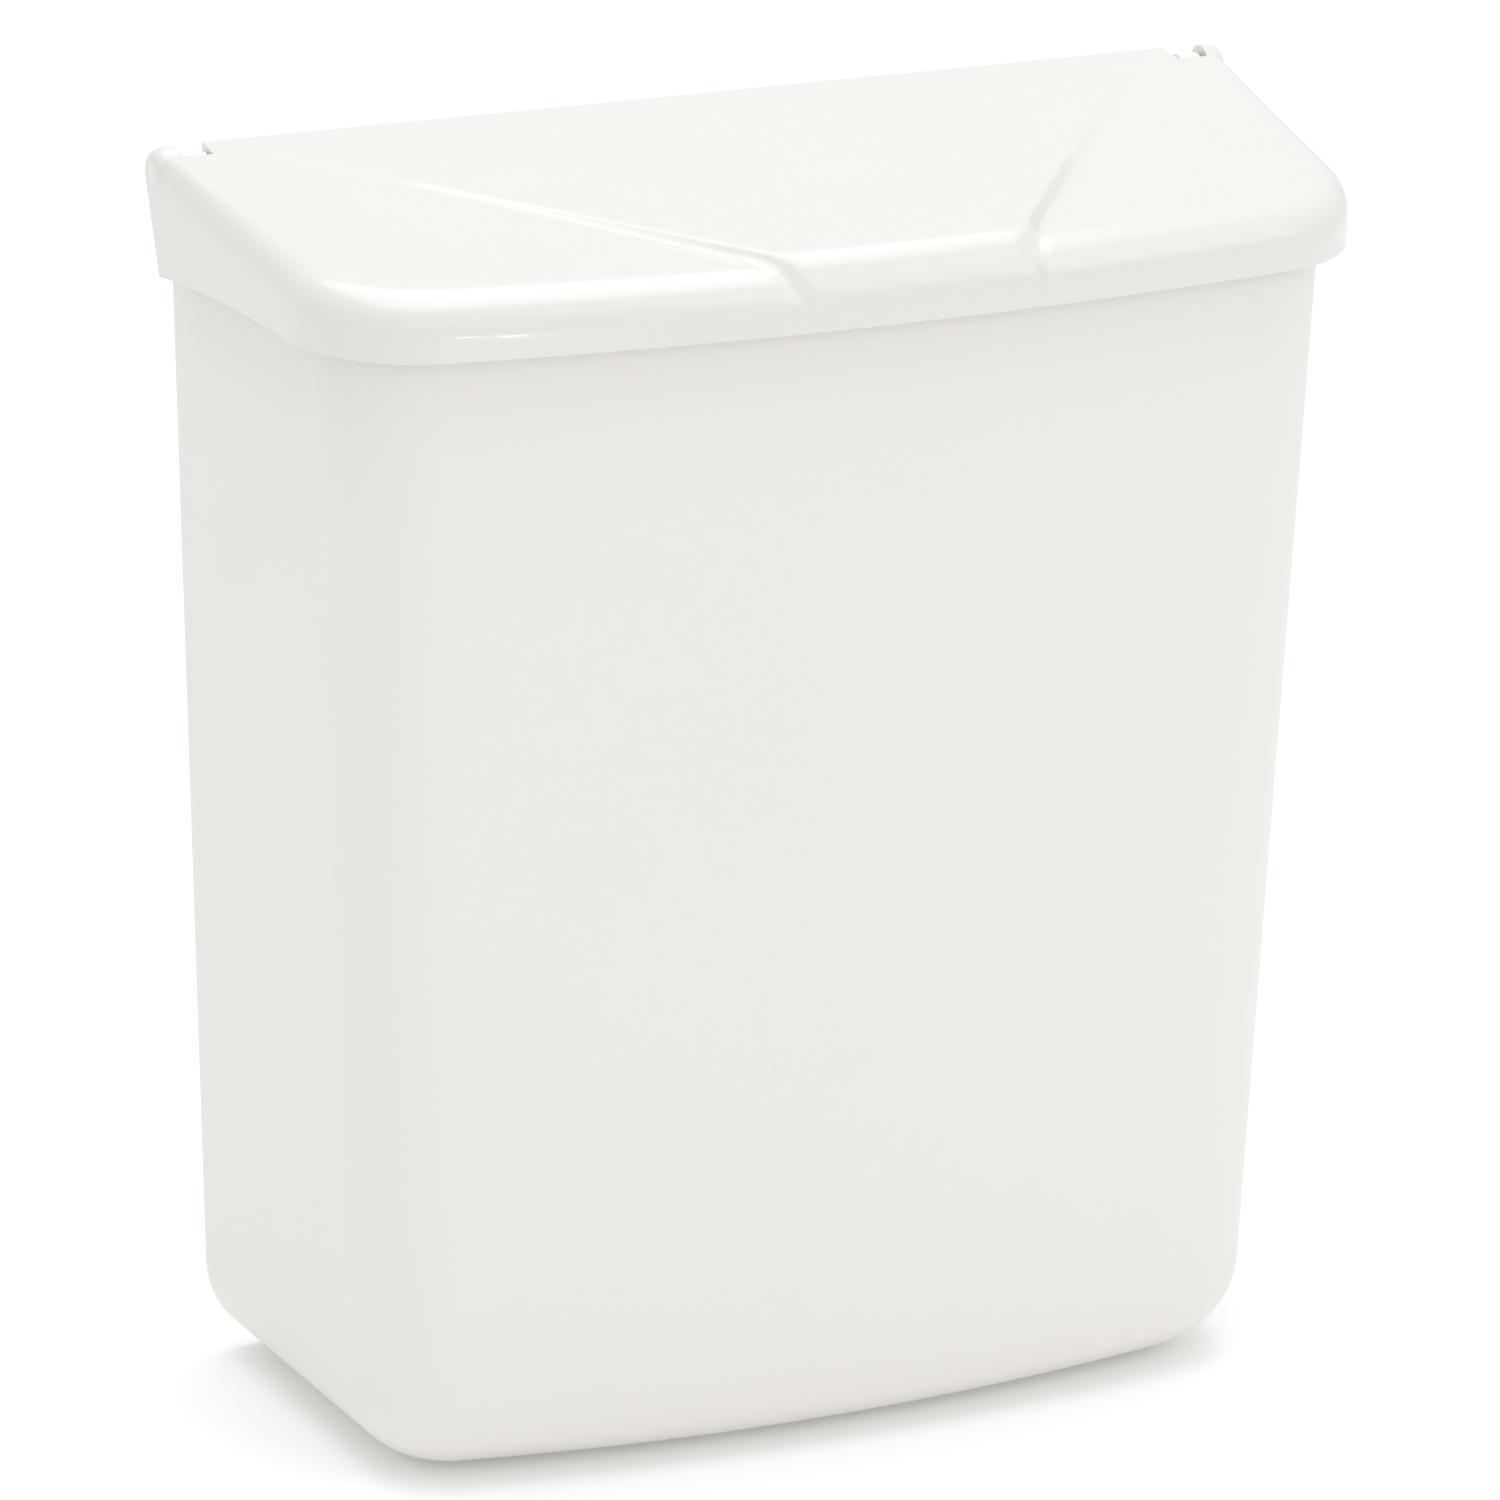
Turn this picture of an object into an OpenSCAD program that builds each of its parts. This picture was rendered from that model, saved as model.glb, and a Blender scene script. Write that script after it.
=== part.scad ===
// Small moulded waste bin with a rear-hinged lid and a lift-out liner.
// Units are millimetres. +Z is up, the front faces -Y, and the back goes against a wall.

/* [Bin] */
// Outside width of the bin at the rim line
rim_w = 219; // [205:1:225]
// Outside width of the bin at the foot
foot_w = 204; // [190:1:212]
// Depth from the back wall's face to the crown of the front
bin_d = 90.5; // [84:0.5:96]
// Height of the line where the lid's skirt ends at the front
skirt_z = 235; // [225:1:240]
// How much narrower the front is than the back, on each side, at the rim
rim_draw = 6; // [4:0.5:8]
// How much narrower the front is than the back, on each side, at the foot
foot_draw = 7; // [4:0.5:8]
// Bow of the front panel
front_bow = 9; // [6:0.5:11]
// Radius of the vertical front corners
corner_r = 21.5; // [16:0.5:26]
// Radius of the round at the foot
foot_r = 20; // [14:1:22]
// Wall thickness of the bin
wall = 2.2; // [1.8:0.1:2.6]
// Thickness that the rim bead adds outside the wall
bead_t = 1.2; // [0.8:0.1:1.5]
// Height of the rim bead
bead_h = 5; // [3:0.5:6]

/* [Lid] */
// Outside width of the lid at the back
lid_w = 229.8; // [227:0.1:232]
// How far the lid's front reaches past the bin's front
front_reach = 4.4; // [4:0.1:5]
// Height of the lid's top at the back
lid_back_z = 255.5; // [254.5:0.1:256.5]
// Height of the side panels' top at the front
lid_front_z = 246.6; // [246:0.1:248]
// Rise of the middle panel above the side panels at the front
panel_rise = 2.2; // [1:0.1:2.5]
// Thickness of the lid
lid_t = 2.2; // [2:0.1:2.4]
// Outside radius between the lid's top and its skirt
lid_r = 7.4; // [6.5:0.1:8]
// How wide that round still is at the lid's back corners, as a share of its width at the front
rear_round = 0.25; // [0.2:0.05:0.5]
// How much lower the skirt hangs at the back corners than at the front
skirt_drop = 5; // [2:0.5:6]

/* [Hinge] */
// Distance of the hinge axis in front of the back wall's face
pivot_in = 4.3; // [4.2:0.1:4.8]
// Depth of the hinge axis under the lid's back edge
pivot_under = 3.9; // [3.8:0.1:4.2]
// Radius of the hinge pins
pin_r = 1.5; // [1.3:0.1:1.6]
// Running clearance of the pins in the lid's ears
pin_gap = 0.05; // [0.02:0.01:0.1]
// Radius of the lid's ears round the hinge axis
ear_r = 4.4; // [4.2:0.1:4.7]
// Radius of the bin's lugs round the hinge axis
lug_r = 3; // [2.8:0.1:3.1]

/* [Liner] */
// Gap behind the liner, which leaves room for the screw heads
liner_back_gap = 4.2; // [3.6:0.1:6]
// Outside width of the liner at its rim
liner_rim_w = 204; // [196:1:206]
// Outside width of the liner at its foot
liner_foot_w = 196; // [186:1:197]
// Wall thickness of the liner
liner_t = 1.8; // [1.5:0.1:2.2]
// Height of the liner's rim
liner_z = 228; // [210:1:232]
// Radius of the two finger cut-outs in the liner's rim
finger_r = 16; // [12:1:20]

/* [Wall mounting] */
// Distance between the wall holes, across
hole_dx = 140; // [100:5:160]
// Distance between the wall holes, up
hole_dz = 140; // [100:5:150]
// Height of the lower wall holes
hole_low_z = 72; // [60:1:75]
// Radius of the wall holes
hole_r = 2.5; // [2:0.1:3]
// Radius of the round stand-off pads
pad_r = 8; // [6:0.5:10]
// Thickness of the stand-off pads
pad_t = 1.5; // [1.5:0.1:3]

/* [Hidden] */
bin_white = [0.93, 0.92, 0.90];
lid_white = [0.96, 0.96, 0.96];
liner_grey = [0.62, 0.64, 0.66];
pin_white = [0.85, 0.85, 0.84];

slab_t = 0.01;
arc_n = 8;
bow_n = 10;
reach = 400;

lid_d = bin_d + front_reach;
total_d = lid_d + pad_t;
pivot_y = -pivot_in;
pivot_z = lid_back_z - pivot_under;
rim_back_z = pivot_z - 4.6;
rim_front_z = lid_front_z - lid_t - 2.6;
rim_top_z = pivot_z + 10;

lug_out = rim_w/2 + 0.1;
lug_in = lug_out - 4.6;
rib_out = lug_out - 1.6;
ear_in = lug_out + 0.7;
ear_out = lid_w/2;
pin_head_r = 2.6;
pin_head_t = 1.2;
pin_end = ear_out - 1.7;
notch_in = lug_in - pin_head_t - 0.4;
notch_y = pivot_y - lug_r - 0.4;
plate_back_y = pivot_y + 3.1;
bead_back_y = pivot_y - ear_r - 1.6;
flange_foot = [pivot_y - 3.3, skirt_z - skirt_drop];
liner_gap = 1.6;
floor_gap = 0.3;

// The outline follows a straight side, a round corner and one bowed front arc.
function lerp(a, b, t) = a + (b - a)*t;
function arc(c, r, a0, a1, n) = [for (i = [0:n]) c + r*[cos(lerp(a0, a1, i/n)), sin(lerp(a0, a1, i/n))]];
function mirrored(points) = [for (i = [len(points) - 1:-1:0]) [-points[i][0], points[i][1]]];

// Right half of the outline, from the back corner to the middle of the front.
function half_outline(back_x, front_x, back_y, front_y, bow, r) =
    let (
        bow_r = (front_x*front_x + bow*bow)/(2*bow),
        bow_c = [0, front_y + bow_r],
        side = [front_x - back_x, front_y + bow],
        along = side/norm(side),
        inward = [along[1], -along[0]],
        start = [back_x, 0] + inward*r - bow_c,
        b = start*along,
        travel = -b + sqrt(b*b - start*start + pow(bow_r - r, 2)),
        centre = bow_c + start + along*travel,
        outward = (centre - bow_c)/norm(centre - bow_c),
        a_side = atan2(-inward[1], -inward[0]),
        a_front = atan2(outward[1], outward[0])
    )
    concat(
        [[back_x - along[0]/along[1]*-back_y, back_y]],
        arc(centre, r, a_side, a_front, arc_n),
        arc(bow_c, bow_r, a_front, -90, bow_n)
    );

function outline(back_x, front_x, back_y, front_y, bow, r) =
    let (half = half_outline(back_x, front_x, back_y, front_y, bow, r))
    concat(half, mirrored([for (i = [0:len(half) - 2]) half[i]]));

module slab(z, points) {
    translate([0, 0, z]) linear_extrude(slab_t) polygon(points);
}

// Sweeps a side-view outline, given as [y, z] points, across the whole width.
module side_prism(points, x_from = -reach, x_to = reach) {
    translate([x_from, 0, 0]) rotate([90, 0, 90]) linear_extrude(x_to - x_from) polygon(points);
}

// Everything behind one plane, between two distances from the middle.
module behind(y, x_from = -reach, x_to = reach) {
    side_prism([[y, -1], [reach, -1], [reach, reach], [y, reach]], x_from, x_to);
}

// A cylinder along X between two distances from the middle, on one side.
module cross_cylinder(side, x_from, x_to, r, y, z) {
    translate([side > 0 ? x_from : -x_to, y, z]) rotate([0, 90, 0]) cylinder(r = r, h = x_to - x_from, $fn = 48);
}

// Puts the finished part's origin at the middle of its footprint.
module placed() {
    translate([0, total_d/2 - pad_t, 0]) children();
}

// A tapered tub with a rounded foot: inset moves the sides and front inwards.
module tub(foot_half, rim_half, inset, back_y, z_from, z_to, round_r) {
    steps = 6;
    levels = concat(
        [for (i = [0:steps]) [z_from + round_r*(1 - cos(90*i/steps)), round_r*(1 - sin(90*i/steps))]],
        [[z_to, 0]]
    );
    hull() for (level = levels) {
        t = level[0]/skirt_z;
        in = inset + level[1];
        back = lerp(foot_half, rim_half, t) - in;
        front = back - lerp(foot_draw, rim_draw, t);
        slab(level[0], outline(back, front, back_y, -bin_d + in, front_bow, max(corner_r - in, 3)));
    }
}

module bin_hollow() {
    tub(foot_w/2, rim_w/2, wall, -wall, wall, rim_top_z, foot_r - wall);
}

// Keeps only what lies under the sloping rim.
module under_rim(drop = 0) {
    slope = (rim_back_z - rim_front_z)/bin_d;
    side_prism([[reach, -1], [-reach, -1], [-reach, rim_back_z - drop - slope*reach],
        [reach, rim_back_z - drop + slope*reach]]);
}

module rim_bead() {
    difference() {
        intersection() {
            tub(foot_w/2, rim_w/2, -bead_t, 0, skirt_z - 10, rim_top_z, 0.5);
            under_rim();
        }
        under_rim(bead_h);
        bin_hollow();
        behind(bead_back_y);
    }
}

module hinge_lug(side) {
    cross_cylinder(side, lug_in, lug_out, lug_r, pivot_y, pivot_z);
    translate([side > 0 ? lug_in : -rib_out, pivot_y - lug_r, rim_back_z - 14])
        cube([rib_out - lug_in, 2*lug_r, pivot_z - rim_back_z + 14]);
}

module at_wall_holes() {
    for (x = [-hole_dx/2, hole_dx/2], z = [hole_low_z, hole_low_z + hole_dz])
        translate([x, 0, z]) rotate([-90, 0, 0]) children();
}

module bin_body() {
    color(bin_white) placed() difference() {
        union() {
            difference() {
                intersection() {
                    tub(foot_w/2, rim_w/2, 0, 0, 0, rim_top_z, foot_r);
                    under_rim();
                }
                bin_hollow();
            }
            rim_bead();
            for (side = [-1, 1]) hinge_lug(side);
            at_wall_holes() cylinder(r = pad_r, h = pad_t, $fn = 64);
        }
        at_wall_holes() translate([0, 0, -wall - 5]) cylinder(r = hole_r, h = wall + pad_t + 10, $fn = 48);
        for (side = [-1, 1]) cross_cylinder(side, lug_in - 1, lug_out + 1, pin_r + 0.02, pivot_y, pivot_z);
    }
}

// The solid under the lid's top, with its round edge: inset makes the inside of the shell.
module lid_form(inset, back_y, front_z, foot_z) {
    r = lid_r - inset;
    steps = 5;
    slope = atan((lid_back_z - front_z)/lid_d);
    levels = [for (i = [0:steps]) [r*(1 - cos(90*i/steps)), r*(1 - sin(90*i/steps))]];
    hull() {
        slab(foot_z, lid_outline(inset, 0, back_y));
        for (level = levels)
            translate([0, 0, lid_back_z - inset - level[1]]) rotate([slope, 0, 0])
                slab(0, [for (p = lid_outline(inset, level[0], back_y)) [p[0], p[1]/cos(slope)]]);
    }
}

function lid_outline(inset, pull, back_y) =
    outline(lid_w/2 - inset - pull*rear_round, lid_w/2 - rim_draw - inset - pull, back_y,
        -lid_d + inset + pull, front_bow, corner_r + front_reach - inset - pull);

// Plan of the raised middle panel, wider towards the back: inset narrows it for the underside.
module panel_prism(inset) {
    front = -lid_d + 9;
    translate([0, 0, skirt_z - 50]) linear_extrude(90)
        polygon([[-25 + inset, -lid_d - 5], [-25 + inset, front], [-83 + inset, -22], [-90 + inset, 10],
            [90 - inset, 10], [85 - inset, -22], [33 - inset, front], [33 - inset, -lid_d - 5]]);
}

// The lid's top with the middle panel on it.
module lid_blank(inset, back_y, foot_z) {
    lid_form(inset, back_y, lid_front_z, foot_z);
    intersection() {
        lid_form(inset, back_y, lid_front_z + panel_rise, foot_z);
        panel_prism(inset);
    }
}

// The flange's back edge, which leans back to run round the ear.
module behind_flange(side) {
    pivot = [pivot_y, pivot_z];
    to_pivot = pivot - flange_foot;
    blend_r = ear_r - 0.4;
    lean = atan2(to_pivot[1], to_pivot[0]) - asin(blend_r/norm(to_pivot));
    side_prism(concat(
        [[reach, -1], [flange_foot[0], -1], flange_foot],
        arc(pivot, blend_r, lean - 90, 75, 6),
        [[pivot_y + 1, reach], [reach, reach]]
    ), side > 0 ? ear_in - 1 : -reach, side > 0 ? reach : 1 - ear_in);
}

// The skirt's lower edge: level round the front, then curving down to the back corners.
module under_skirt() {
    curve_y = -(bin_d - front_bow - corner_r);
    steps = 8;
    side_prism(concat(
        [[-reach, -1], [-reach, skirt_z]],
        [for (i = [0:steps]) [curve_y*(1 - i/steps), skirt_z - skirt_drop*pow(i/steps, 2)]],
        [[reach, skirt_z - skirt_drop], [reach, -1]]
    ));
}

// A disc along X with a generous round on its outer face.
module ear(side) {
    round_r = 3;
    thickness = ear_out - ear_in;
    translate([side*ear_in, pivot_y, pivot_z]) rotate([0, side*90, 0]) rotate_extrude($fn = 64)
        polygon(concat(
            [[0, 0], [ear_r, 0]],
            arc([ear_r - round_r, thickness - round_r], round_r, 0, 90, 10),
            [[0, thickness]]
        ));
}

module lid() {
    color(lid_white) placed() difference() {
        union() {
            difference() {
                lid_blank(0, 4, skirt_z - 10);
                lid_blank(lid_t, 8, skirt_z - 20);
                under_skirt();
                behind(plate_back_y, -notch_in - 1, notch_in + 1);
                behind(notch_y, notch_in, ear_in);
                behind(notch_y, -ear_in, -notch_in);
                for (side = [-1, 1]) behind_flange(side);
            }
            for (side = [-1, 1]) ear(side);
        }
        for (side = [-1, 1])
            cross_cylinder(side, ear_in - 1, pin_end + 0.3, pin_r + pin_gap, pivot_y, pivot_z);
    }
}

module hinge_pin(side) {
    color(pin_white) placed() {
        cross_cylinder(side, lug_in - pin_head_t, lug_in, pin_head_r, pivot_y, pivot_z);
        cross_cylinder(side, lug_in - pin_head_t, pin_end, pin_r, pivot_y, pivot_z);
    }
}

module hinge_pin_left() hinge_pin(-1);

module hinge_pin_right() hinge_pin(1);

module rigid_liner() {
    side_gap = wall + liner_gap;
    back_gap = wall + liner_back_gap;
    foot = liner_foot_w/2 + side_gap;
    rim = liner_rim_w/2 + side_gap;
    color(liner_grey) placed() difference() {
        tub(foot, rim, side_gap, -back_gap, wall + floor_gap, liner_z, foot_r - side_gap);
        tub(foot, rim, side_gap + liner_t, -back_gap - liner_t, wall + floor_gap + liner_t, liner_z + 20,
            foot_r - side_gap - liner_t);
        cross_cylinder(1, -reach, reach, finger_r, -bin_d/2, liner_z + finger_r*0.25);
    }
}

bin_body();
lid();
hinge_pin_left();
hinge_pin_right();
rigid_liner();
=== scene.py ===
"""Looks for the slim lidded waste bin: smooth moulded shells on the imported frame, in a white studio."""

import math

import bmesh
import bpy
import numpy as np
from mathutils import Matrix, Vector


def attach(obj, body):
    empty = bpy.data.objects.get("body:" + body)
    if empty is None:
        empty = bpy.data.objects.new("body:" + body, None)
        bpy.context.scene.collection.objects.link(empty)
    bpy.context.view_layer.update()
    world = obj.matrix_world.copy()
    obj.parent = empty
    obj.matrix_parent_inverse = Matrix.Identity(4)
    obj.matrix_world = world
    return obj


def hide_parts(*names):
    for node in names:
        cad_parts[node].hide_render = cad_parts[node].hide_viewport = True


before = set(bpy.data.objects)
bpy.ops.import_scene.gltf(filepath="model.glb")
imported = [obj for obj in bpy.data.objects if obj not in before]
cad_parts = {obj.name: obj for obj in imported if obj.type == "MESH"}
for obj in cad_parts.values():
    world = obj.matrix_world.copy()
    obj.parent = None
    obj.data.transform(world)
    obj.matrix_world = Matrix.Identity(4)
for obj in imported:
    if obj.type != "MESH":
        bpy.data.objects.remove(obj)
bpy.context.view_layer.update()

# Sizes are in millimetres, with y = 0 on the back wall's outer face and the front towards -y.
TO_ROW_Y = 46.7
RIM_W, FOOT_W, BIN_D, SKIRT_Z = 219.0, 204.0, 90.5, 235.0
RIM_DRAW, FOOT_DRAW, BOW = 6.0, 7.0, 9.0
CORNER_R, FOOT_R, WALL = 21.5, 20.0, 2.2
BEAD_T, BEAD_H = 1.2, 5.0
LID_W, FRONT_REACH = 229.8, 4.4
LID_D = BIN_D + FRONT_REACH
LID_BACK_Z, LID_FRONT_Z, PANEL_RISE = 255.5, 246.6, 2.2
LID_T, LID_R, REAR_ROUND, SKIRT_DROP = 2.2, 7.4, 0.25, 5.0
PIVOT_Y, PIVOT_Z = -4.3, 251.6
PIN_R, PIN_GAP, PIN_HEAD_T = 1.5, 0.05, 1.2
EAR_R, LUG_R = 4.4, 3.0
RIM_BACK_Z = PIVOT_Z - 4.6
RIM_FRONT_Z = LID_FRONT_Z - LID_T - 2.6
RIM_SLOPE = (RIM_BACK_Z - RIM_FRONT_Z) / BIN_D
# The bead's lower edge runs at the rim's slope, rounded, and stops BEAD_GAP short of the ears.
BEAD_SLOPE, BEAD_GAP = 0.0573, 1.6
LUG_OUT = RIM_W / 2 + 0.1
LUG_IN, RIB_OUT = LUG_OUT - 4.6, LUG_OUT - 1.6
EAR_IN, EAR_OUT = LUG_OUT + 0.7, LID_W / 2
NOTCH_IN = LUG_IN - PIN_HEAD_T - 0.4
NOTCH_Y = PIVOT_Y - LUG_R - 0.4
PLATE_BACK_Y = PIVOT_Y + 3.1
LINER_RIM_W, LINER_FOOT_W, LINER_T, LINER_Z, FINGER_R = 204.0, 196.0, 1.8, 228.0, 16.0
LINER_SIDE_GAP, LINER_BACK_GAP, LINER_BASE_Z = WALL + 1.6, WALL + 4.2, WALL + 0.3
HOLES = [(x, z) for x in (-70.0, 70.0) for z in (72.0, 212.0)]
HOLE_R, PAD_R, PAD_T, PAD_ROUND, PAD_BEVEL = 2.5, 8.0, 1.5, 0.4, 0.12
RIB_LENGTH = 14.0
FLANGE_FOOT, FLANGE_BLEND = 3.3, 0.4
EAR_ROUND, EAR_CAP, LUG_GAP = 3.0, 1.4, 0.02

# Blanks run past the finished shape by OVER, or by LID_OVER behind the lid. Cutters reach out to FAR.
OVER, LID_OVER, FAR = 10.0, 4.0, 400.0

# Points along the plan ring's back, sides, corners and front, and up a tub's wall.
BACK_STEPS, SIDE_STEPS, CORNER_STEPS, FRONT_STEPS, WALL_STEPS = 24, 40, 28, 110, 24


def lerp(a, b, t):
    return a + (b - a) * t


def arc(cx, cy, r, a0, a1, n):
    turns = [lerp(a0, a1, i / n) for i in range(n + 1)]
    return [(cx + r * math.cos(a), cy + r * math.sin(a)) for a in turns]


def outline(back_x, front_x, back_y, front_y, bow, r, back_r=0.8):
    """Closed plan ring: straight back, drawn-in straight sides, round front corners and a bowed front."""
    bow_r = (front_x**2 + bow**2) / (2 * bow)
    bow_c = Vector((0, front_y + bow_r))
    along = Vector((front_x - back_x, front_y + bow)).normalized()
    inward = Vector((along.y, -along.x))
    start = Vector((back_x, 0)) + inward * r - bow_c
    b = start.dot(along)
    centre = bow_c + start + along * (-b + math.sqrt(b * b - start.dot(start) + (bow_r - r) ** 2))
    outward = (centre - bow_c).normalized()
    a_side = math.atan2(-inward.y, -inward.x)
    a_front = math.atan2(outward.y, outward.x)
    corner = Vector((back_x - along.x / along.y * -back_y, back_y))
    side_end = centre - inward * r
    half = [((corner.x - back_r) * i / BACK_STEPS, back_y) for i in range(BACK_STEPS + 1)]
    half += arc(corner.x - back_r, back_y - back_r, back_r, math.pi / 2, 0, 4)[1:]
    side_start = Vector(half[-1])
    half += [tuple(side_start.lerp(side_end, i / SIDE_STEPS)) for i in range(1, SIDE_STEPS)]
    half += arc(centre.x, centre.y, r, a_side, a_front, CORNER_STEPS)
    half += arc(bow_c.x, bow_c.y, bow_r, a_front, -math.pi / 2, FRONT_STEPS)[1:]
    return half + [(-x, y) for x, y in reversed(half[1:-1])]


def mesh_object(name, points, faces):
    mesh = bpy.data.meshes.new(name)
    mesh.from_pydata([(x / 1000, (y + TO_ROW_Y) / 1000, z / 1000) for x, y, z in points], [], faces)
    obj = bpy.data.objects.new(name, mesh)
    bpy.context.scene.collection.objects.link(obj)
    bm = bmesh.new()
    bm.from_mesh(mesh)
    bmesh.ops.recalc_face_normals(bm, faces=bm.faces)
    bm.to_mesh(mesh)
    bm.free()
    return obj


def loft(name, rings):
    """A closed solid through rings of equal length, with a flat face on the first and last."""
    n = len(rings[0])
    points = [p for ring in rings for p in ring]
    faces = [list(range(n))[::-1], [(len(rings) - 1) * n + i for i in range(n)]]
    for k in range(len(rings) - 1):
        for i in range(n):
            j = (i + 1) % n
            faces.append([k * n + i, k * n + j, (k + 1) * n + j, (k + 1) * n + i])
    return mesh_object(name, points, faces)


def tub(name, foot_half, rim_half, inset, back_y, z_from, z_to, round_r, steps=14):
    levels = [(z_from + round_r * (1 - math.cos(a)), round_r * (1 - math.sin(a)))
              for a in (math.pi / 2 * i / steps for i in range(steps + 1))]
    top = levels[-1][0]
    levels += [(lerp(top, z_to, i / WALL_STEPS), 0) for i in range(1, WALL_STEPS + 1)]
    rings = []
    for z, pull in levels:
        t = z / SKIRT_Z
        cut = inset + pull
        back = lerp(foot_half, rim_half, t) - cut
        front = back - lerp(FOOT_DRAW, RIM_DRAW, t)
        ring = outline(back, front, back_y, -BIN_D + cut, BOW, max(CORNER_R - cut, 3))
        rings.append([(x, y, z) for x, y in ring])
    return loft(name, rings)


def prism(name, points, x_from=-FAR, x_to=FAR):
    """A side-view outline of (y, z) points swept across the width."""
    return loft(name, [[(x, y, z) for y, z in points] for x in (x_from, x_to)])


def cylinder(name, side, x_from, x_to, r, y, z, n=64):
    ring = arc(y, z, r, 0, 2 * math.pi, n)[:-1]
    return prism(name, ring, *sorted((side * x_from, side * x_to)))


def boolean(obj, tool, operation):
    """Applies one exact boolean and removes the tool."""
    mod = obj.modifiers.new("cut", "BOOLEAN")
    mod.operation, mod.object, mod.solver = operation, tool, "EXACT"
    bpy.context.view_layer.update()
    done = bpy.data.meshes.new_from_object(obj.evaluated_get(bpy.context.evaluated_depsgraph_get()))
    obj.modifiers.clear()
    obj.data = done
    bpy.data.objects.remove(tool)
    return obj


def cut(obj, tool):
    return boolean(obj, tool, "DIFFERENCE")


def join(obj, tool):
    return boolean(obj, tool, "UNION")


def smooth(obj, degrees=32):
    obj.data.polygons.foreach_set("use_smooth", [True] * len(obj.data.polygons))
    obj.data.set_sharp_from_angle(angle=math.radians(degrees))
    return obj


def behind(y, x_from=-FAR, x_to=FAR):
    return prism("behind", [(y, -1), (FAR, -1), (FAR, FAR), (y, FAR)], x_from, x_to)


def above_rim():
    low, high = RIM_BACK_Z - RIM_SLOPE * FAR, RIM_BACK_Z + RIM_SLOPE * FAR
    return prism("above_rim", [(-FAR, low), (FAR, high), (FAR, 2 * FAR), (-FAR, 2 * FAR)])


def below_bead():
    top = RIM_BACK_Z - BEAD_H
    low, high = top - FAR * BEAD_SLOPE, top + FAR * BEAD_SLOPE
    return prism("below_bead", [(-FAR, 0), (FAR, 0), (FAR, high), (-FAR, low)])


def circle(x, y, z, r, n):
    """A ring of points in a plane parallel to the back wall."""
    turns = [2 * math.pi * i / n for i in range(n)]
    return [(x + r * math.cos(a), y, z + r * math.sin(a)) for a in turns]


def rounded_disc(name, side, x_from, thickness, r, round_r, y, z, n=72):
    """A disc along X with a round outer edge."""
    profile = [(r, 0)] + arc(r - round_r, thickness - round_r, round_r, 0, math.pi / 2 * 0.98, 12)
    rings = [[(side * (x_from + out), y + rad * math.cos(a), z + rad * math.sin(a))
              for a in (2 * math.pi * i / n for i in range(n))] for rad, out in profile]
    return loft(name, rings)


def make_bead():
    """The band round the rim's outside, under the lid's skirt, which stops short of the ears."""
    bead = tub("bead", FOOT_W / 2, RIM_W / 2, -BEAD_T, -0.2, SKIRT_Z - 12, PIVOT_Z + OVER, 0.5, 2)
    cut(bead, below_bead())
    return cut(bead, behind(PIVOT_Y - EAR_R - BEAD_GAP))


def add_lug(body, side):
    """A hinge lug on its rib, bored for the pin."""
    foot = RIM_BACK_Z - RIB_LENGTH
    front, back = PIVOT_Y - LUG_R, PIVOT_Y + LUG_R
    join(body, cylinder("lug", side, LUG_IN, LUG_OUT, LUG_R, PIVOT_Y, PIVOT_Z))
    join(body, prism("rib", [(front, foot), (back, foot), (back, PIVOT_Z), (front, PIVOT_Z)],
                     *sorted((side * LUG_IN, side * RIB_OUT))))
    cut(body, cylinder("pin_hole", side, LUG_IN - 1, LUG_OUT + 1, PIN_R + LUG_GAP, PIVOT_Y, PIVOT_Z))


def add_wall_hole(body, x, z):
    """A stand-off pad with a softened edge, and the screw hole through it."""
    edge = [(PAD_R, -1.0), (PAD_R, PAD_T - PAD_ROUND)]
    edge += [(PAD_R - PAD_BEVEL, PAD_T - PAD_BEVEL), (PAD_R - PAD_ROUND, PAD_T)]
    join(body, loft("pad", [circle(x, y, z, r, 64) for r, y in edge]))
    cut(body, loft("wall_hole", [circle(x, y, z, HOLE_R, 48) for y in (-WALL - 5, PAD_T + 5)]))


def make_body():
    body = tub("bin_shell", FOOT_W / 2, RIM_W / 2, 0, 0, 0, PIVOT_Z + OVER, FOOT_R)
    join(body, make_bead())
    cut(body, above_rim())
    cut(body, tub("hollow", FOOT_W / 2, RIM_W / 2, WALL, -WALL, WALL, PIVOT_Z + 2 * OVER, FOOT_R - WALL))
    for side in (-1, 1):
        add_lug(body, side)
    for x, z in HOLES:
        add_wall_hole(body, x, z)
    return smooth(body)


def lid_outline(inset, pull, back_y):
    return outline(LID_W / 2 - inset - pull * REAR_ROUND, LID_W / 2 - RIM_DRAW - inset - pull, back_y,
                   -LID_D + inset + pull, BOW, CORNER_R + FRONT_REACH - inset - pull, 0.4)


def top_plane(y):
    return LID_BACK_Z + (LID_BACK_Z - LID_FRONT_Z) / LID_D * y


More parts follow.
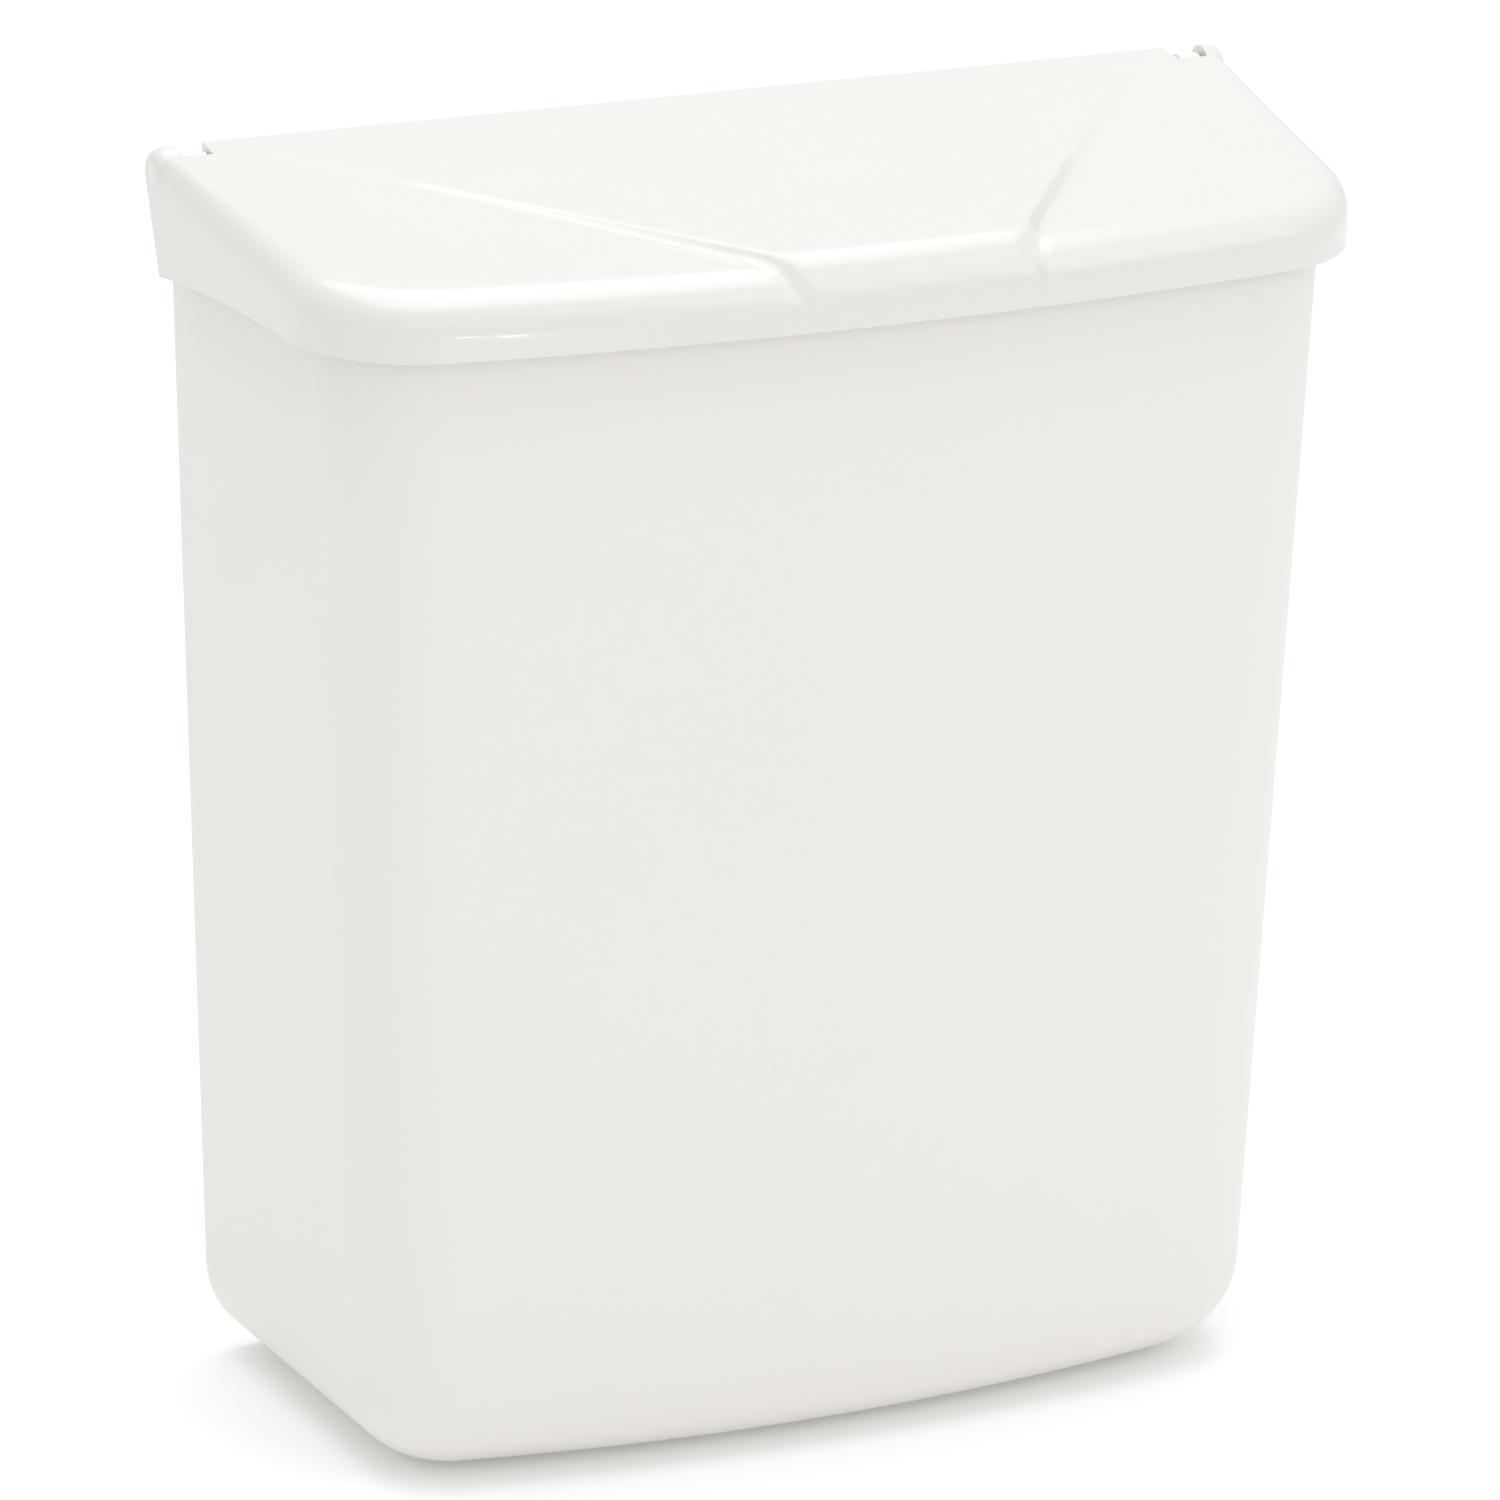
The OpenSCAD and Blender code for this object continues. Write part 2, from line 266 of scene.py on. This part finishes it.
# Each groove runs down the front, over the edge and back across the top: x, y, z, half width, depth.
GROOVES = (
    ((-15.5, -94.8, 237.5, 1.2, 0.0), (-18.5, -94.2, 243.0, 1.9, 0.35), (-21.5, -90.5, 248.0, 1.7, 0.6),
     (-26.0, -84.5, 249.0, 1.2, 0.5), (-52.0, -55.5, 251.0, 0.9, 0.3), (-83.0, -22.0, 253.5, 0.7, 0.0)),
    ((31.5, -94.0, 235.0, 0.8, 0.4), (32.0, -93.6, 243.0, 0.8, 0.6), (33.5, -89.5, 248.0, 0.9, 0.65),
     (37.0, -82.0, 249.0, 0.9, 0.5), (60.0, -52.0, 251.0, 0.7, 0.3), (85.0, -20.5, 253.5, 0.5, 0.0)),
)
PANEL_LINES = (((-24.0, -86.6), (-83.0, -22.0)), ((35.5, -84.0), (85.0, -20.5)))


STEP_W = 3.0


def panel_share(x, y):
    """1 on the raised middle panel, 0 beside it, with a soft step along each groove."""
    share = 1.0
    for (ax, ay), (bx, by) in PANEL_LINES:
        length = math.hypot(bx - ax, by - ay)
        off = ((bx - ax) * (y - ay) - (by - ay) * (x - ax)) / length
        off = -off if ax < 0 else off
        t = min(max(off / STEP_W + 0.5, 0), 1)
        share *= t * t * (3 - 2 * t)
    return share


def raised(x, y):
    """The middle panel's rise, greatest at the front and nothing at the back."""
    return PANEL_RISE * max(-y, 0) / LID_D * panel_share(x, y)


SKIRT_RINGS, EDGE_STEPS, TOP_RINGS = 10, 16, 75
# The top's rings close in on a line SPINE_SHARE of the lid's width, and stop just short of it.
SPINE_SHARE, SPINE_STOP = 0.42, 0.93


def lid_rings(inset, back_y, foot_z):
    """Rings up the skirt, round the edge and in across the top, towards a short line in the middle."""
    r = LID_R - inset
    low = lid_outline(inset, 0, back_y)
    rings = []
    for i in range(SKIRT_RINGS):
        rings.append([(x, y, lerp(foot_z, top_plane(y) - inset - r, i / SKIRT_RINGS)) for x, y in low])
    for i in range(EDGE_STEPS + 1):
        a = math.pi / 2 * i / EDGE_STEPS
        ring = lid_outline(inset, r * (1 - math.cos(a)), back_y)
        drop, rise = r * (1 - math.sin(a)), math.sin(a) ** 2
        rings.append([(x, y, top_plane(y) - inset - drop + raised(x, y) * rise) for x, y in ring])
    last = lid_outline(inset, r, back_y)
    spine = [(x * SPINE_SHARE, lerp(back_y, -LID_D, 0.5)) for x, y in last]
    for i in range(1, TOP_RINGS + 1):
        t = i / TOP_RINGS * SPINE_STOP
        ring = [(lerp(x, sx, t), lerp(y, sy, t)) for (x, y), (sx, sy) in zip(last, spine)]
        rings.append([(x, y, top_plane(y) - inset + raised(x, y)) for x, y in ring])
    return rings


# For stretches that start above TOP_Z, a groove's width is measured in plan, out to PLAN_REACH.
TOP_Z, PLAN_REACH, TINY = 248.5, 6.0, 1e-9


def groove_depth(points, path):
    """How deep one groove is at each point: its depth on the nearest stretch, falling off to the sides."""
    nearest = np.full(len(points), 1e9)
    depth_here = np.zeros(len(points))
    for a, b in zip(path, path[1:]):
        start = np.array(a[:3])
        along = np.array(b[:3]) - start
        t = np.clip((points - start) @ along / (along @ along), 0, 1)
        off = np.linalg.norm(points - (start + t[:, None] * along), axis=1)
        in_plan = along[:2] / (np.linalg.norm(along[:2]) + TINY)
        beside = points[:, :2] - start[:2]
        plan_off = np.abs(in_plan[0] * beside[:, 1] - in_plan[1] * beside[:, 0])
        side_off = np.where((off < PLAN_REACH) & (a[2] > TOP_Z), plan_off, off)
        width, depth = lerp(a[3], b[3], t), lerp(a[4], b[4], t)
        depth_here = np.where(off < nearest, depth * np.exp(-((side_off / width) ** 2)), depth_here)
        nearest = np.minimum(nearest, off)
    return depth_here


def press_grooves(obj):
    """Pushes the two soft grooves into the outer skin, along its normals."""
    mesh = obj.data
    co = np.empty(len(mesh.vertices) * 3)
    mesh.vertices.foreach_get("co", co)
    co = co.reshape(-1, 3)
    normals = np.array([v.normal for v in mesh.vertices])
    points = co * 1000 - np.array([0, TO_ROW_Y, 0])
    push = sum(groove_depth(points, path) for path in GROOVES)
    co -= normals * (push / 1000)[:, None]
    mesh.vertices.foreach_set("co", co.ravel())
    mesh.update()


def under_skirt(steps=24):
    """All that lies under the skirt's edge: level round the front, curving down to the back corners."""
    curve_y = -(BIN_D - BOW - CORNER_R)
    edge = [(lerp(curve_y, 0, i / steps), SKIRT_Z - SKIRT_DROP * (i / steps) ** 2) for i in range(steps + 1)]
    ends = [(FAR, SKIRT_Z - SKIRT_DROP), (FAR, -1)]
    return prism("under_skirt", [(-FAR, -1), (-FAR, SKIRT_Z)] + edge + ends)


def behind_flange(side):
    """All that lies behind the flange's back edge, which leans back to run round the ear."""
    foot = Vector((PIVOT_Y - FLANGE_FOOT, SKIRT_Z - SKIRT_DROP))
    to_pivot = Vector((PIVOT_Y, PIVOT_Z)) - foot
    blend_r = EAR_R - FLANGE_BLEND
    lean = math.atan2(to_pivot.y, to_pivot.x) - math.asin(blend_r / to_pivot.length)
    edge = arc(PIVOT_Y, PIVOT_Z, blend_r, lean - math.pi / 2, math.radians(75), 12)
    points = [(FAR, -1), (foot.x, -1), tuple(foot)] + edge + [(PIVOT_Y + 1, FAR), (FAR, FAR)]
    return prism("behind_flange", points, *sorted((side * (EAR_IN - 1), side * FAR)))


def make_lid():
    lid = loft("lid_shell", lid_rings(0, LID_OVER, SKIRT_Z - OVER))
    press_grooves(lid)
    cut(lid, loft("lid_hollow", lid_rings(LID_T, 2 * LID_OVER, SKIRT_Z - 2 * OVER)))
    cut(lid, under_skirt())
    cut(lid, behind(PLATE_BACK_Y, -NOTCH_IN - 1, NOTCH_IN + 1))
    for side in (-1, 1):
        cut(lid, behind(NOTCH_Y, *sorted((side * NOTCH_IN, side * EAR_IN))))
        cut(lid, behind_flange(side))
        join(lid, rounded_disc("ear", side, EAR_IN, EAR_OUT - EAR_IN, EAR_R, EAR_ROUND, PIVOT_Y, PIVOT_Z))
        cut(lid, cylinder("ear_hole", side, EAR_IN - 1, EAR_OUT - EAR_CAP, PIN_R + PIN_GAP, PIVOT_Y, PIVOT_Z))
    return smooth(lid)


def make_liner():
    foot, rim = LINER_FOOT_W / 2 + LINER_SIDE_GAP, LINER_RIM_W / 2 + LINER_SIDE_GAP
    liner = tub("liner_shell", foot, rim, LINER_SIDE_GAP, -LINER_BACK_GAP, LINER_BASE_Z, LINER_Z,
                FOOT_R - LINER_SIDE_GAP)
    cut(liner, tub("liner_hollow", foot, rim, LINER_SIDE_GAP + LINER_T, -LINER_BACK_GAP - LINER_T,
                   LINER_BASE_Z + LINER_T, LINER_Z + 2 * OVER, FOOT_R - LINER_SIDE_GAP - LINER_T))
    cut(liner, cylinder("finger", 1, -FAR, FAR, FINGER_R, -BIN_D / 2, LINER_Z + FINGER_R * 0.25, 96))
    return smooth(liner)


def plastic(name, color, rough, rough_spread, tint_spread, grain, specks, coat=0.0):
    """Moulded plastic: faint blotches, a fine skin, uneven shine, hairline scratches and dust specks."""
    mat = bpy.data.materials.new(name)
    mat.use_nodes = True
    nodes, links = mat.node_tree.nodes, mat.node_tree.links
    shader = nodes["Principled BSDF"]
    where = nodes.new("ShaderNodeTexCoord").outputs["Object"]

    def noise(scale, detail=4.0, distortion=0.0, stretch=None):
        tex = nodes.new("ShaderNodeTexNoise")
        tex.inputs["Scale"].default_value = scale
        tex.inputs["Detail"].default_value = detail
        tex.inputs["Distortion"].default_value = distortion
        source = where
        if stretch:
            mapping = nodes.new("ShaderNodeMapping")
            mapping.inputs["Scale"].default_value = stretch
            mapping.inputs["Rotation"].default_value = (0.5, 0.9, 0.4)
            links.new(where, mapping.inputs["Vector"])
            source = mapping.outputs["Vector"]
        links.new(source, tex.inputs["Vector"])
        return tex.outputs["Fac"]

    def ramp(value, low, high, to_low, to_high):
        node = nodes.new("ShaderNodeMapRange")
        node.inputs["From Min"].default_value = low
        node.inputs["From Max"].default_value = high
        node.inputs["To Min"].default_value = to_low
        node.inputs["To Max"].default_value = to_high
        links.new(value, node.inputs["Value"])
        return node.outputs["Result"]

    def math_node(operation, a, b):
        node = nodes.new("ShaderNodeMath")
        node.operation = operation
        for k, value in enumerate((a, b)):
            if isinstance(value, (int, float)):
                node.inputs[k].default_value = value
            else:
                links.new(value, node.inputs[k])
        return node.outputs["Value"]

    blotch = ramp(noise(9, 3), 0.3, 0.7, 1 - tint_spread, 1 + tint_spread)
    speck = ramp(noise(420, 1), 0.78, 0.83, 0.0, specks)
    scratch = ramp(noise(30, 6, 0.3, (1, 14, 60)), 0.7, 0.76, 0.0, 1.0)
    tone = math_node("SUBTRACT", blotch, speck)
    mix = nodes.new("ShaderNodeVectorMath")
    mix.operation = "SCALE"
    mix.inputs[0].default_value = color
    links.new(tone, mix.inputs["Scale"])
    links.new(mix.outputs["Vector"], shader.inputs["Base Color"])
    uneven = ramp(noise(38, 5, 0.4), 0.25, 0.75, rough - rough_spread, rough + rough_spread)
    links.new(math_node("ADD", uneven, math_node("MULTIPLY", scratch, 0.04)), shader.inputs["Roughness"])
    height = math_node("ADD", math_node("MULTIPLY", noise(1500, 2), 0.4),
                       math_node("MULTIPLY", noise(160, 2), 0.4))
    height = math_node("SUBTRACT", height, math_node("MULTIPLY", scratch, 0.03))
    bump = nodes.new("ShaderNodeBump")
    bump.inputs["Strength"].default_value = grain
    bump.inputs["Distance"].default_value = 0.00012
    links.new(height, bump.inputs["Height"])
    links.new(bump.outputs["Normal"], shader.inputs["Normal"])
    shader.inputs["IOR"].default_value = 1.49
    shader.inputs["Coat Weight"].default_value = coat
    shader.inputs["Coat Roughness"].default_value = 0.06
    return mat


BIN_PLASTIC = plastic("bin_satin_plastic", (0.822, 0.797, 0.756), 0.42, 0.05, 0.005, 0.2, 0.04)
LID_PLASTIC = plastic("lid_gloss_plastic", (0.772, 0.757, 0.728), 0.24, 0.03, 0.003, 0.06, 0.0, 0.3)
PIN_PLASTIC = plastic("pin_plastic", (0.85, 0.84, 0.82), 0.35, 0.05, 0.01, 0.3, 0.05)
LINER_PLASTIC = plastic("liner_plastic", (0.42, 0.44, 0.46), 0.45, 0.07, 0.02, 0.4, 0.08)


def dress(obj, material, body, slot, *nodes):
    obj.data.materials.clear()
    obj.data.materials.append(material)
    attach(obj, body)
    if nodes:
        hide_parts(*nodes)


dress(make_body(), BIN_PLASTIC, "bin", "bin_plastic", "bin_body")
dress(make_lid(), LID_PLASTIC, "lid", "lid_plastic", "lid")
dress(make_liner(), LINER_PLASTIC, "liner", "liner_plastic", "rigid_liner")
for side in ("left", "right"):
    pin = smooth(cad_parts["hinge_pin_" + side])
    pin.data.materials.clear()
    pin.data.materials.append(PIN_PLASTIC)


def area_light(name, at, aim, size, watts, colour=(1, 1, 1)):
    data = bpy.data.lights.new(name, "AREA")
    data.shape, data.size, data.energy, data.color = "SQUARE", size, watts, colour
    obj = bpy.data.objects.new(name, data)
    obj.location = at
    obj.rotation_euler = (Vector(aim) - Vector(at)).to_track_quat("-Z", "Y").to_euler()
    bpy.context.scene.collection.objects.link(obj)


def white_world(strength):
    world = bpy.data.worlds.new("studio")
    world.use_nodes = True
    background = world.node_tree.nodes["Background"]
    background.inputs["Color"].default_value = (1, 1, 1, 1)
    background.inputs["Strength"].default_value = strength
    return world


def white_floor(half=6):
    """A pale paper floor with a faint glow, so that it stays white round a narrow contact shadow."""
    mesh = bpy.data.meshes.new("floor")
    corners = [(-half, -half, 0), (half, -half, 0), (half, half, 0), (-half, half, 0)]
    mesh.from_pydata(corners, [], [(0, 1, 2, 3)])
    floor = bpy.data.objects.new("floor", mesh)
    bpy.context.scene.collection.objects.link(floor)
    paper = bpy.data.materials.new("white_paper")
    paper.use_nodes = True
    shader = paper.node_tree.nodes["Principled BSDF"]
    shader.inputs["Base Color"].default_value = (0.92, 0.92, 0.92, 1)
    shader.inputs["Roughness"].default_value = 0.9
    shader.inputs["Specular IOR Level"].default_value = 0.1
    shader.inputs["Emission Color"].default_value = (1, 1, 1, 1)
    shader.inputs["Emission Strength"].default_value = 0.12
    mesh.materials.append(paper)
    return floor


scene = bpy.context.scene
scene.view_settings.view_transform = "Standard"
scene.world = white_world(0.75)
floor = white_floor()

area_light("key", (0.9, -1.3, 1.1), (0, 0, 0.13), 1.0, 2.7)
area_light("top", (0.0, 0.1, 1.7), (0, 0, 0.2), 1.6, 14.2, (0.94, 0.975, 1.0))
area_light("glint_left", (0.005, -0.723, 0.095), (-0.083, -0.043, 0.24), 0.016, 0.03)
area_light("glint_right", (0.035, -0.712, 0.07), (-0.076, -0.043, 0.24), 0.016, 0.03)

# The camera stands where the photographed outline puts it.
YAW, PITCH, ROLL, FOCAL_PX, PHOTO_PX = 0.42413, 0.35263, 0.02337, 8190.9, 1500
eye = Vector((-630.42, -1431.46 + TO_ROW_Y, 692.76)) / 1000
forward = Vector((math.sin(YAW) * math.cos(PITCH), math.cos(YAW) * math.cos(PITCH), -math.sin(PITCH)))
level_right = Vector((math.cos(YAW), -math.sin(YAW), 0))
level_up = level_right.cross(forward)
right = level_right * math.cos(ROLL) + level_up * math.sin(ROLL)
up = -level_right * math.sin(ROLL) + level_up * math.cos(ROLL)
camera = bpy.data.objects.new("camera", bpy.data.cameras.new("camera"))
camera.matrix_world = Matrix((
    (right.x, up.x, -forward.x, eye.x),
    (right.y, up.y, -forward.y, eye.y),
    (right.z, up.z, -forward.z, eye.z),
    (0, 0, 0, 1),
))
camera.data.sensor_width = 36
camera.data.lens = FOCAL_PX / PHOTO_PX * 36
camera.data.clip_start, camera.data.clip_end = 0.05, 50
scene.collection.objects.link(camera)
scene.camera = camera
